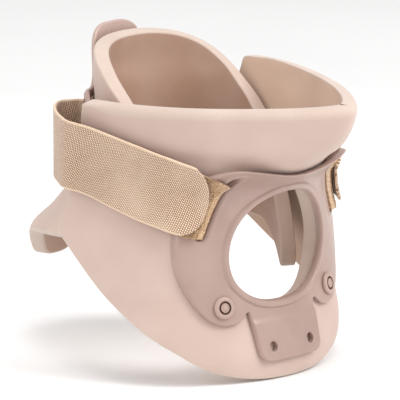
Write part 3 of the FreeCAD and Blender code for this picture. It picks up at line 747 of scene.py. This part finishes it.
hole = facing(throat_loop(0, 1.1), True)
slots = [
    facing(stadium((s * SLOT_TOP[0], SLOT_TOP[1]), (s * SLOT_LOW[0], SLOT_LOW[1]), SLOT_RADIUS, 0.9), True)
    for s in (-1, 1)
]
tab_eyes = [facing(circle(s * TAB_HOLES[0], TAB_HOLES[1], TAB_HOLES[2], 28), True) for s in (-1, 1)]
# Raised ring round the throat: its middle line and half width from the hole's edge, and its height.
RING_MIDDLE = 2.3
RING_HALF = 2.5
RING_HEIGHT = 1.7
ring_lines = [hole + sideways(hole) * d for d in (1.7, 2.6, 3.5, 4.3, 4.9, 5.6)]
# Raised border of a strap slot, from the slot's edge to where it has died away.
BORDER_FLAT = 1.5
BORDER_END = 2.9
BORDER_HEIGHT = 0.7
BORDER_LINES = (BORDER_FLAT, 2.2, BORDER_END)
slot_lines = [slot + sideways(slot) * d for slot in slots for d in BORDER_LINES]
# Raised pad of the tab: its height, and between which lines its top and its sides fade out.
TAB_HEIGHT = 0.8
TAB_TOP = (38.6, 37.4)
TAB_SIDE = (30.5, 29.0)
# Blank panel on the tab: left, right, low and high sides, and the width and height of the ridge round it.
PANEL = (-9.5, 9.5, 27.5, 36.0)
PANEL_RIDGE = (0.35, 0.18)


def slot_border(points, pair):
    """Height of the borders round a pair of slots."""
    near = np.minimum(edge_distance(points, pair[0]), edge_distance(points, pair[1]))
    return (1 - step_up(near, BORDER_FLAT, BORDER_END)) * BORDER_HEIGHT


def front_relief(points):
    """Height of the ring, slot borders, tab pad and blank panel above the front plate."""
    x, z = points.T
    from_ring = (edge_distance(points, hole) - RING_MIDDLE) / RING_HALF
    ring = np.clip(1 - from_ring**2, 0, 1) ** 0.6 * RING_HEIGHT
    below_top = step_up(-z, -TAB_TOP[0], -TAB_TOP[1])
    tab = below_top * step_up(-np.abs(x), -TAB_SIDE[0], -TAB_SIDE[1]) * TAB_HEIGHT
    left, right, low, high = PANEL
    away = np.maximum(np.maximum(left - x, x - right), np.maximum(low - z, z - high))
    wide, tall = PANEL_RIDGE
    panel = np.exp(-(away / wide) ** 2) * tall
    return np.maximum(np.maximum(ring, slot_border(points, slots)), tab) + panel


def place_front_plate(points, level):
    """Flat points of the front plate put on the front half's wall."""
    x, z = points.T
    raised = np.asarray(level) / PLATE * front_relief(points)
    y = front_wall(x, z, FRONT_GAP + np.asarray(level) + raised, FRONT_FLARE)
    return np.stack([x, y, z], axis=1)


def plate_rounding(loop):
    """Small rounds on the short loops of the tab's holes, larger ones on the rest."""
    return np.full(len(loop), 0.6 if len(loop) < 40 else 1.25)


front_plate = sheet_solid(
    "front_plate",
    [plate_outline(1.2), hole] + slots + tab_eyes,
    place_front_plate,
    PLATE,
    plate_rounding,
    lambda loop: 0.4,
    1.5,
    [plate_skin, plate_skin, plate_skin],
    lines=ring_lines + slot_lines,
)

slot_low, slot_high = BAND_Z - REAR_SLOT_REACH, BAND_Z + REAR_SLOT_REACH
rear_slots = [
    facing(stadium((x, slot_low), (x, slot_high), SLOT_RADIUS, 1.0), True)
    for x in (-REAR_SLOT_X, REAR_SLOT_X)
]
rear_slot_lines = [slot + sideways(slot) * d for slot in rear_slots for d in BORDER_LINES]


def place_rear_plate(points, level):
    """Flat points of the rear plate put on the rear half's wall."""
    x, z = points.T
    raised = np.asarray(level) / PLATE * slot_border(points, rear_slots)
    y = rear_wall(x, z, REAR_GAP + np.asarray(level) + raised, REAR_FLARE)
    return yawed(np.stack([x, y, z], axis=1))


rear_edge = REAR_PLATE_EDGE + [(-x, z) for x, z in REAR_PLATE_EDGE[-2:0:-1]]
rear_plate = sheet_solid(
    "rear_plate",
    [facing(spline(rear_edge, 1.4, closed=True), False)] + rear_slots,
    place_rear_plate,
    PLATE,
    lambda loop: 1.3,
    lambda loop: 1.2,
    2.0,
    [rear_plate_skin, rear_plate_skin, rear_plate_skin],
    lines=rear_slot_lines,
)


# -------- rivets, pins and washers
def wall_frame(wall, x, z):
    """Spot on a wall and its outward direction."""
    spot = np.array([x, wall(x, z), z], float)
    across = np.array([1.0, wall(x + 0.5, z) - wall(x - 0.5, z), 0.0])
    upward = np.array([0.0, wall(x, z + 0.5) - wall(x, z - 0.5), 1.0])
    out = np.cross(across, upward)
    out /= np.linalg.norm(out)
    if out[1] * spot[1] < 0:
        out = -out
    return spot, out


def turned(name, outline, spots, finishes, kinds=None, turn=None, count=48):
    """Lathed pieces, one at each spot; outline is a closed list of radius and height."""
    vertices, faces, marks = [], [], []
    for spot, out in spots:
        side = np.cross(out, [0.0, 0.0, 1.0])
        side /= np.linalg.norm(side)
        up = np.cross(side, out)
        shift = len(vertices)
        for radius, height in outline:
            for k in range(count):
                angle = 2 * math.pi * k / count
                ray = math.cos(angle) * side + math.sin(angle) * up
                vertices.append(spot + out * height + radius * ray)
        rows = len(outline)
        closed = outline[0][0] > 0.01
        for j in range(rows if closed else rows - 1):
            for k in range(count):
                a, b = j * count + k, j * count + (k + 1) % count
                c, d = ((j + 1) % rows) * count + (k + 1) % count, ((j + 1) % rows) * count + k
                faces.append((shift + a, shift + b, shift + c, shift + d))
                marks.append(kinds[j] if kinds else 0)
    points = np.array(vertices)
    if turn:
        points = turn(points)
    piece = make_object(name, points, faces, marks, finishes)
    shape = bmesh.new()
    shape.from_mesh(piece.data)
    bmesh.ops.remove_doubles(shape, verts=shape.verts, dist=1e-6)
    bmesh.ops.recalc_face_normals(shape, faces=shape.faces)
    shape.to_mesh(piece.data)
    shape.free()
    return piece


# Outlines of the turned pieces: radius and height, and the groove's faces among the head's, which carry
# painted shade.
HEAD = [(7.0, 0.0), (7.0, 0.8), (6.8, 1.35), (6.3, 1.8), (5.7, 2.0), (4.7, 2.1), (4.35, 2.0), (4.2, 1.8)]
HEAD += [(4.15, 0.7), (3.0, 0.7), (2.95, 1.8), (2.8, 2.05), (2.0, 2.1), (2.0, -14.2), (3.2, -14.2)]
HEAD += [(3.2, 0.0)]
HEAD_KINDS = [0] * 7 + [1] * 3 + [0] * 6
PIN = [(0.0, 2.35), (0.8, 2.32), (1.5, 2.2), (1.9, 1.95), (1.9, -13.2), (1.6, -13.4), (0.0, -13.4)]
WASHER = [(9.0, 0.2), (9.0, 1.1), (8.7, 1.4), (8.3, 1.5), (3.5, 1.5), (3.3, 1.3), (3.3, 0.0), (8.8, 0.0)]


def spots_on(wall, x, z, offset):
    """Right and left spots off a wall, with their outward directions."""
    return [(spot + out * offset, out) for spot, out in (wall_frame(wall, s * x, z) for s in (-1, 1))]


def fasteners(half, wall, place, gap, turn):
    """Rivet heads, centre pins and inner washers of one half, whose plate stands off the foam by a gap."""
    x, z = place
    seats = spots_on(wall, x, z, gap + PLATE + HEAD_SEAT)
    head = turned(half + "_rivet_heads", HEAD, seats, [rivet_skin, groove_painted_shade], HEAD_KINDS, turn)
    pins = turned(half + "_centre_pins", PIN, seats, [rivet_skin], None, turn)
    below = [(spot, -out) for spot, out in spots_on(wall, x, z, -FOAM - WASHER_DROP)]
    washers = turned(half + "_inner_washers", WASHER, below, [rivet_skin], None, turn)
    return head, pins, washers


front_set = fasteners("front", lambda x, z: float(front_wall(x, z, 0)), FRONT_RIVETS, FRONT_GAP, None)
rear_set = fasteners("rear", lambda x, z: float(rear_wall(x, z, 0)), REAR_RIVETS, REAR_GAP, yawed)


# -------- straps
def on_skin(points, offset):
    """Points moved level, away from the neck axis or sideways, to a distance from the foam."""
    x, y, z = points.T
    depth, width, power = front_sizes(z, offset)
    forward = np.clip(-y, 0, None)
    reach = ((np.abs(x) / width) ** power + (forward / depth) ** power) ** (1 / power)
    moved = np.stack([x / reach, y / reach, z], axis=1)
    level = np.stack([np.sign(x) * width, y, z], axis=1)
    return np.where((y >= 0)[:, None], level, moved)


def side_x(y, z, offset):
    """Distance from the mid-plane to the front half's side surface at Y, Z."""
    depth, width, power = front_sizes(float(z), offset)
    if y >= 0:
        return float(width)
    return float(width * max(0.0, 1 - (abs(y) / depth) ** power) ** (1 / power))


def under_plate(side):
    """Places along a side strap from the rear slot's mouth to under the plate."""
    places = []
    for x, offset in BAND_UNDER[::-1]:
        if x >= BAND_SEAM:
            y = float(rear_wall(x, BAND_Z, offset))
            x, y, z = yawed(np.array([[side * x, y, BAND_Z]]))[0]
            places.append((side * x, y, z))
    return places


class StrapRun:
    """Closed strap on one side, from its rounded front end to just under the rear plate."""

    def __init__(self, side, back):
        # A grip of 1 lays the strap's whole width on the foam; 0 leaves it straight across.
        self.side = side
        points, offsets, grips = [], [], []
        for y, z, offset in STRAP_RUN:
            points.append((side * side_x(y, z, offset), y, z))
            offsets.append(offset)
            grips.append(1.0)
        for i, (x, y, z) in enumerate(back + under_plate(side)):
            points.append((side * x, y, z))
            offsets.append(x - float(front_width(z)))
            grips.append(max(0.0, 1 - (i + 1) / 2))
        self.line = spline(points, 0.5)
        self.run = lengths(self.line)
        self.length = self.run[-1]
        near = [int(np.argmin(np.linalg.norm(self.line - np.array(p), axis=1))) for p in points]
        self.offset = profile(zip(self.run[near], offsets))
        self.grip = profile(zip(self.run[near], grips))

    def at(self, distance):
        """Point of the middle line at a distance from the front end."""
        return points_at(distance, self.run, self.line)

    def row(self, distance, across):
        """Points across the strap at a distance from the front end."""
        along = self.at(min(distance + 1.5, self.length)) - self.at(max(distance - 1.5, 0))
        along /= np.linalg.norm(along)
        out = np.cross(along, [0, 0, 1.0]) * self.side
        out /= np.linalg.norm(out)
        up = np.cross(out, along) * self.side
        free = self.at(distance) + up * np.asarray(across)[:, None]
        grip = float(self.grip(distance))
        if grip > 0:
            free = free + (on_skin(free, float(self.offset(distance))) - free) * grip
        return free


def share_across(count):
    """Places from -1 to 1 across a strap, closer together towards its edges."""
    share = np.linspace(-1, 1, count)
    return np.sign(share) * (1 - (1 - np.abs(share)) ** 1.6)


def outward(rows):
    """Unit normals of a sheet of points that point away from the neck axis."""
    out = np.cross(np.gradient(rows, axis=0), np.gradient(rows, axis=1))
    out /= np.linalg.norm(out, axis=2)[..., None]
    away = rows * np.array([1, 1, 0])
    return out if np.sum(out * away) >= 0 else -out


def strip_faces(rows, count):
    """Faces of a closed strip whose vertices run across its outer side and back across its inner side."""
    around = 2 * count
    faces = []
    for i in range(rows - 1):
        for k in range(around):
            ahead = (k + 1) % around
            a, b = i * around, (i + 1) * around
            faces.append((a + k, a + ahead, b + ahead, b + k))
    for base in (0, (rows - 1) * around):
        for k in range(count - 1):
            faces.append((base + k, base + k + 1, base + around - 2 - k, base + around - 1 - k))
    return faces


def strap_piece(run, name, start, end, half, thickness, finish, middle=0.0, rounded=False):
    """Length of strap between two distances; a rounded start narrows to a half circle."""
    stations, halves = [], []
    bend = 15.0
    if rounded:
        for turn in np.linspace(3, 88, 22):
            stations.append(start + bend * (1 - math.cos(math.radians(turn))))
            halves.append(half * math.sin(math.radians(turn)))
        start += bend
    count = max(4, int((end - start) / 2.0))
    stations += list(np.linspace(start, end, count + 1))
    halves += [half] * (count + 1)
    share = share_across(33)
    rows = [run.row(d, share * h) for d, h in zip(stations, halves)]
    return webbing(name, rows, stations, halves, share, thickness, finish, middle, rounded)


def webbing(name, rows, stations, halves, share, thickness, finish, middle, rounded):
    """Closed webbing round rows of points, with the lengthwise and crosswise places that the knit reads."""
    rows = np.array(rows)
    out = outward(rows)
    count = len(share)
    vertices, run_mm, across_mm = [], [], []
    for i in range(len(rows)):
        fade = 1.0
        if rounded:
            near = min(1.0, (stations[i] - stations[0]) / 1.0)
            fade = max(0.25, math.sqrt(1 - (1 - near) ** 2))
        edge = np.clip(halves[i] * (1 - np.abs(share)) / 0.9, 0, 1)
        thick = thickness / 2 * fade * np.sqrt(np.clip(1 - (1 - edge) ** 2, 0.03, 1))
        vertices += [*(rows[i] + out[i] * (middle + thick)[:, None])]
        vertices += [*(rows[i] + out[i] * (middle - thick)[:, None])[::-1]]
        run_mm += [stations[i]] * (2 * count)
        across_mm += [*(share * halves[i]), *(share[::-1] * halves[i])]
    piece = make_object(name, vertices, strip_faces(len(rows), count), None, [finish])
    store(piece, "run_mm", run_mm)
    store(piece, "across_mm", across_mm)
    return piece


HALF = STRAP_WIDTH / 2
HOOK_END = 44.0
# Distance from the front end at which the tip's mesh meets the side's.
SEAM = 72.0
WEBBING = 2.0
straps = {}
for side, name, back in ((-1, "right", RIGHT_BACK), (1, "left", LEFT_BACK)):
    run = StrapRun(side, back)
    straps[name] = (
        strap_piece(run, name + "_elastic_tip", 0, SEAM, HALF, WEBBING, knit, rounded=True),
        strap_piece(run, name + "_elastic_side", SEAM, run.length, HALF, WEBBING, knit),
        strap_piece(run, name + "_hook_tape", 3, HOOK_END, HALF - 3, 1.0, hooks, middle=-1.75, rounded=True),
    )


# -------- the strap across the back
def rear_band():
    """Strap under the rear plate, as far as the side straps' ends."""
    path = []
    for x, offset in BAND_UNDER:
        if x <= BAND_SEAM:
            path.append((x, float(rear_wall(x, BAND_Z, offset))))
    path = [(-x, y) for x, y in path[:0:-1]] + path
    line = spline(path, 1.6)
    share = share_across(25)
    rows = []
    run = lengths(line)
    z = BAND_Z + share * HALF
    for x, y in line:
        rows.append(yawed(np.stack([np.full(len(z), x), np.full(len(z), y), z], axis=1)))
    return webbing("rear_elastic", rows, list(run), [HALF] * len(rows), share, WEBBING, knit, 0.0, False)


rear_elastic = rear_band()


# -------- loop pile
def loop_rows(side):
    """Rows of points across the loop strip, from inside the slot back along the foam."""
    # Through the slot: how far behind its middle line, distance from the foam, and lift of the upper edge.
    leaving = [(0.5, 1.2, 0), (0.5, 4.3, 0), (2.8, 4.7, 1), (5.4, 4.7, 2.5)]
    # Farther back: lower and upper edge as (Y, Z), and distance from the foam.
    lying = [
        ((-53, 95.5), (-66, 131.5), 4.3),
        ((-45, 98), (-57, 135), 3.9),
        ((-38, 100.5), (-48, 138), 3.0),
        ((-24, 104), (-34, 141.5), 1.1),
        ((-8, 108), (-18, 145), 0.9),
    ]
    share = np.linspace(-1, 1, 25)
    rows = []
    for back, offset, lift in leaving:
        part = 0.45 + share / 2 * 0.94
        x = SLOT_LOW[0] + (SLOT_TOP[0] - SLOT_LOW[0]) * part + back
        z = SLOT_LOW[1] + (SLOT_TOP[1] - SLOT_LOW[1]) * part + lift * (share / 2 + 0.5)
        rows.append(np.stack([side * x, front_wall(x, z, offset, FRONT_FLARE), z], axis=1))
    for (low_y, low_z), (high_y, high_z), offset in lying:
        y = low_y + (high_y - low_y) * (share / 2 + 0.5)
        z = low_z + (high_z - low_z) * (share / 2 + 0.5)
        x = [side * side_x(yy, zz, offset) for yy, zz in zip(y, z)]
        rows.append(np.stack([x, y, z], axis=1))
    rows = np.array(rows)
    steady = []
    for k in range(len(share)):
        column = spline(rows[:, k], 2.0)
        run = lengths(column)
        steady.append(points_at(np.linspace(0, run[-1], 32), run, column))
    return np.array(steady).transpose(1, 0, 2)


def tufts(rows, out, count, reach):
    """Closed bent spikes scattered over a surface: the fuzz of a brushed pile."""
    vertices, faces = [], []
    n, m = rows.shape[:2]
    for _ in range(count):
        i = chance.uniform(0, n - 1.001)
        k = chance.uniform(0, m - 1.001)
        i0, k0 = int(i), int(k)
        di, dk = i - i0, k - k0
        spot = (
            rows[i0, k0] * (1 - di) * (1 - dk)
            + rows[i0 + 1, k0] * di * (1 - dk)
            + rows[i0, k0 + 1] * (1 - di) * dk
            + rows[i0 + 1, k0 + 1] * di * dk
        )
        normal = out[i0, k0]
        lean = chance.normal(0, 0.55, 3)
        way = normal + lean
        way /= np.linalg.norm(way)
        bend = chance.normal(0, 0.5, 3)
        height = reach * chance.uniform(0.5, 1.15)
        side = np.cross(way, [0.3, 0.5, 0.8])
        side /= np.linalg.norm(side)
        other = np.cross(way, side)
        radius = 0.13
        base = len(vertices)
        for level, size in ((-0.3, 1.0), (0.55, 0.8)):
            centre = spot + way * height * level + bend * height * 0.25 * max(level, 0) ** 2
            for turn in (0.0, 2.09, 4.19):
                vertices.append(centre + radius * size * (math.cos(turn) * side + math.sin(turn) * other))
        vertices.append(spot + way * height + bend * height * 0.45)
        faces.append((base, base + 2, base + 1))
        for t in range(3):
            u = (t + 1) % 3
            faces.append((base + t, base + u, base + 3 + u, base + 3 + t))
            faces.append((base + 3 + t, base + 3 + u, base + 6))
    return vertices, faces


PILE_THICKNESS = 1.5
# The rows inside the slot carry no tufts.
BARE_ROWS = 3


def loop_pile(side, name):
    """Loop strip with an uneven, tufted outer face."""
    rows = loop_rows(side)
    out = outward(rows)
    lumps = chance.normal(0, 0.1, rows.shape[:2])
    top = rows + out * (PILE_THICKNESS + lumps)[..., None]
    vertices = []
    for upper, lower in zip(top, rows):
        vertices += [*upper, *lower[::-1]]
    faces = strip_faces(*rows.shape[:2])
    spikes, spike_faces = tufts(top[BARE_ROWS:], out[BARE_ROWS:], 7600, 1.0)
    shift = len(vertices)
    vertices += spikes
    faces += [tuple(shift + i for i in f) for f in spike_faces]
    return make_object(name + "_loop_pile", vertices, faces, None, [pile])


loops = {name: loop_pile(side, name) for side, name in ((-1, "right"), (1, "left"))}

# -------- bodies and stand-ins
def stand_in(piece, body, node):
    """Let a piece ride a body in place of a CAD node."""
    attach(piece, body)
    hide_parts(node)


stand_in(front_foam, "front_half", "front_foam_shell")
stand_in(rear_foam, "rear_half", "rear_foam_shell")
stand_in(front_plate, "front_half", "front_support_plate")
stand_in(rear_plate, "rear_half", "rear_support_plate")
for half, pieces in (("front", front_set), ("rear", rear_set)):
    for piece, node in zip(pieces, ("_rivets", "_rivet_pins", "_rivet_washers")):
        stand_in(piece, half + "_half", half + node)
for name in ("right", "left"):
    stand_in(loops[name], "front_half", name + "_loop_strip")
stand_in(rear_elastic, "rear_half", "rear_strap_band")
for name in ("right", "left"):
    stand_in(straps[name][2], name + "_tip", name + "_hook_patch")

for name, sign in (("right", -1), ("left", 1)):
    tip, length, _ = straps[name]
    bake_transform(tip)
    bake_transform(length)
    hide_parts(name + "_strap_tip")
    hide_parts(name + "_strap_side")

# -------- floor, light and camera
low = cad_box[0]
floor_mesh = bpy.data.meshes.new("studio_floor")
span = 6.0
corners = [(-span, -span, 0), (span, -span, 0), (span, span, 0), (-span, span, 0)]
floor_mesh.from_pydata(corners, [], [(0, 1, 2, 3)])
floor = bpy.data.objects.new("studio_floor", floor_mesh)
floor.location = (0, 0, low[2] - 0.0005)
bpy.context.scene.collection.objects.link(floor)
paper = Finish("studio_paper", 0.95, specular=0.1)
paper.color(paper.mix(paper.ramp(paper.noise(3, 2), 0.3, 0.7), (0.93, 0.93, 0.93, 1), (0.9, 0.9, 0.9, 1)))
floor_mesh.materials.append(paper.item)

world = bpy.data.worlds.new("studio")
bpy.context.scene.world = world
world.use_nodes = True
world.node_tree.nodes["Background"].inputs[0].default_value = (1.0, 0.99, 0.985, 1.0)
world.node_tree.nodes["Background"].inputs[1].default_value = 0.75

aim = Vector((0.0181, 0.0101, 0.0948))


def lamp(name, azimuth, elevation, distance, size, watts):
    """Large soft light that points at the collar."""
    data = bpy.data.lights.new(name, "AREA")
    data.shape = "DISK"
    data.size = size
    data.energy = watts
    item = bpy.data.objects.new(name, data)
    a, e = math.radians(azimuth), math.radians(elevation)
    way = Vector((math.sin(a) * math.cos(e), -math.cos(a) * math.cos(e), math.sin(e)))
    item.location = aim + way * distance
    item.rotation_euler = (-way).to_track_quat("-Z", "Y").to_euler()
    bpy.context.scene.collection.objects.link(item)


lamp("key_light", 20, 38, 1.6, 0.9, 15)
lamp("fill_light", -95, 24, 1.8, 1.3, 9.5)
lamp("top_light", -40, 80, 1.5, 0.8, 7)

view_way = Vector((-0.715, -0.667, 0.208)).normalized()
CAMERA_DISTANCE = 4.0
VIEW_WIDTH = 0.25
SENSOR = 36
camera_data = bpy.data.cameras.new("camera")
camera_data.sensor_width = SENSOR
camera_data.lens = SENSOR * CAMERA_DISTANCE / VIEW_WIDTH
camera_data.clip_start = 0.05
camera = bpy.data.objects.new("camera", camera_data)
camera.location = aim + view_way * CAMERA_DISTANCE
camera.rotation_euler = (-view_way).to_track_quat("-Z", "Y").to_euler()
bpy.context.scene.collection.objects.link(camera)
bpy.context.scene.camera = camera
bpy.context.scene.view_settings.view_transform = "Standard"
